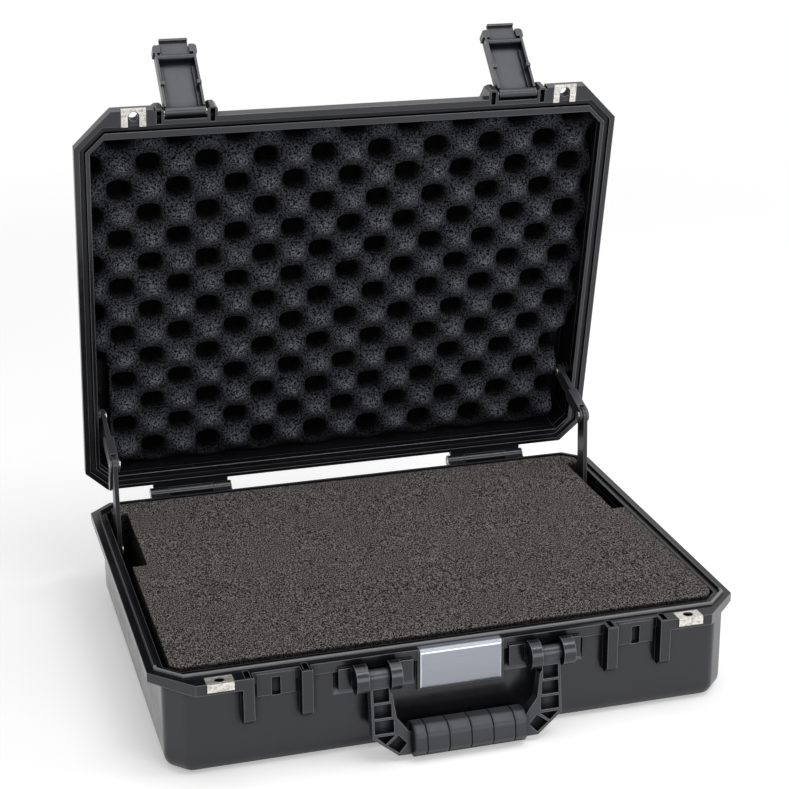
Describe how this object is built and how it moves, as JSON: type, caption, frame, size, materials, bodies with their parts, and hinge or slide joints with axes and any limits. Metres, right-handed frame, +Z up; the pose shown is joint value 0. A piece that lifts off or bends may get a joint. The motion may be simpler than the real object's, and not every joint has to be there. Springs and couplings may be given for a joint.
{
  "type": "laptop hard case",
  "caption": "Shallow black moulded hard case with hinged lid, over-centre latches, folding handle, folding lid stays, cubed foam in the base and convoluted foam in the lid.",
  "frame": {"origin": "on the floor, centre of the rim outline, at the middle of the flat underside", "axes": "+Z up, +X to the right seen from the front, -Y towards the front (handle and latches); the lid is open at its stop"},
  "size_m": [0.5, 0.4581, 0.5226],
  "materials": {
    "case_plastic": "matte, fine moulded texture",
    "latch_plastic": "satin",
    "handle_plastic": "satin",
    "stay_plastic": "satin",
    "grip_rubber": "matte",
    "seal_rubber": "matte",
    "stainless": "brushed",
    "nameplate_metal": "fine satin",
    "foam_grey": "open-cell foam",
    "foam_black": "open-cell foam"
  },
  "bodies": {
    "base": {"base_shell": "case_plastic", "nameplate": "nameplate_metal", "base_cubed_foam": "foam_grey", "base_pad_foam": "foam_grey", "base_padlock_plate_left": "stainless", "hinge_pin_left": "stainless", "handle_pin_left": "stainless", "stay_base_rivet_left": "stainless", "base_padlock_plate_right": "stainless", "hinge_pin_right": "stainless", "handle_pin_right": "stainless", "stay_base_rivet_right": "stainless"},
    "lid": {"lid_shell": "case_plastic", "lid_gasket": "seal_rubber", "lid_convoluted_foam": "foam_black", "lid_padlock_plate_left": "stainless", "latch_pin_left": "stainless", "stay_lid_rivet_left": "stainless", "lid_padlock_plate_right": "stainless", "latch_pin_right": "stainless", "stay_lid_rivet_right": "stainless"},
    "handle": {"handle_frame": "handle_plastic", "handle_grip": "grip_rubber"},
    "latch_left": {"latch_body_left": "latch_plastic", "latch_tab_pin_left": "stainless"},
    "latch_tab_left": {"latch_tab_left": "latch_plastic"},
    "stay_lower_left": {"stay_lower_link_left": "stay_plastic"},
    "stay_upper_left": {"stay_upper_link_left": "stay_plastic", "stay_elbow_rivet_left": "stainless"},
    "latch_right": {"latch_body_right": "latch_plastic", "latch_tab_pin_right": "stainless"},
    "latch_tab_right": {"latch_tab_right": "latch_plastic"},
    "stay_lower_right": {"stay_lower_link_right": "stay_plastic"},
    "stay_upper_right": {"stay_upper_link_right": "stay_plastic", "stay_elbow_rivet_right": "stainless"}
  },
  "joints": [
    {"name": "lid_hinge", "type": "hinge", "parent": "base", "child": "lid", "pos_m": [0, 0.2032, 0.084], "axis": [-1, 0, 0], "range_deg": [-78.5, 0]},
    {"name": "handle_pivot", "type": "hinge", "parent": "base", "child": "handle", "pos_m": [0, -0.1931, 0.0708], "axis": [-1, 0, 0], "range_deg": [0, 100]},
    {"name": "latch_left_hinge", "type": "hinge", "parent": "lid", "child": "latch_left", "pos_m": [-0.1523, 0.12933, 0.46716], "axis": [-1, 0, 0], "range_deg": [-146, 0]},
    {"name": "latch_tab_left_hinge", "type": "hinge", "parent": "latch_left", "child": "latch_tab_left", "pos_m": [-0.1523, 0.1685, 0.50774], "axis": [-1, 0, 0], "range_deg": [0, 30]},
    {"name": "stay_lower_left_pivot", "type": "hinge", "parent": "base", "child": "stay_lower_left", "pos_m": [-0.2297, 0.1357, 0.0601], "axis": [-1, 0, 0], "range_deg": [-78.5, 0]},
    {"name": "stay_elbow_left", "type": "hinge", "parent": "stay_lower_left", "child": "stay_upper_left", "pos_m": [-0.2297, 0.1396, 0.14309], "axis": [-1, 0, 0], "range_deg": [0, 78.5]},
    {"name": "latch_right_hinge", "type": "hinge", "parent": "lid", "child": "latch_right", "pos_m": [0.1523, 0.12933, 0.46716], "axis": [-1, 0, 0], "range_deg": [-146, 0]},
    {"name": "latch_tab_right_hinge", "type": "hinge", "parent": "latch_right", "child": "latch_tab_right", "pos_m": [0.1523, 0.1685, 0.50774], "axis": [-1, 0, 0], "range_deg": [0, 30]},
    {"name": "stay_lower_right_pivot", "type": "hinge", "parent": "base", "child": "stay_lower_right", "pos_m": [0.2297, 0.1357, 0.0601], "axis": [-1, 0, 0], "range_deg": [-78.5, 0]},
    {"name": "stay_elbow_right", "type": "hinge", "parent": "stay_lower_right", "child": "stay_upper_right", "pos_m": [0.2297, 0.1396, 0.14309], "axis": [-1, 0, 0], "range_deg": [0, 78.5]}
  ],
  "couplings": [
    {"joint": "stay_lower_left_pivot", "follows": "lid_hinge", "ratio": 1},
    {"joint": "stay_elbow_left", "follows": "lid_hinge", "ratio": -1},
    {"joint": "stay_lower_right_pivot", "follows": "lid_hinge", "ratio": 1},
    {"joint": "stay_elbow_right", "follows": "lid_hinge", "ratio": -1}
  ]
}
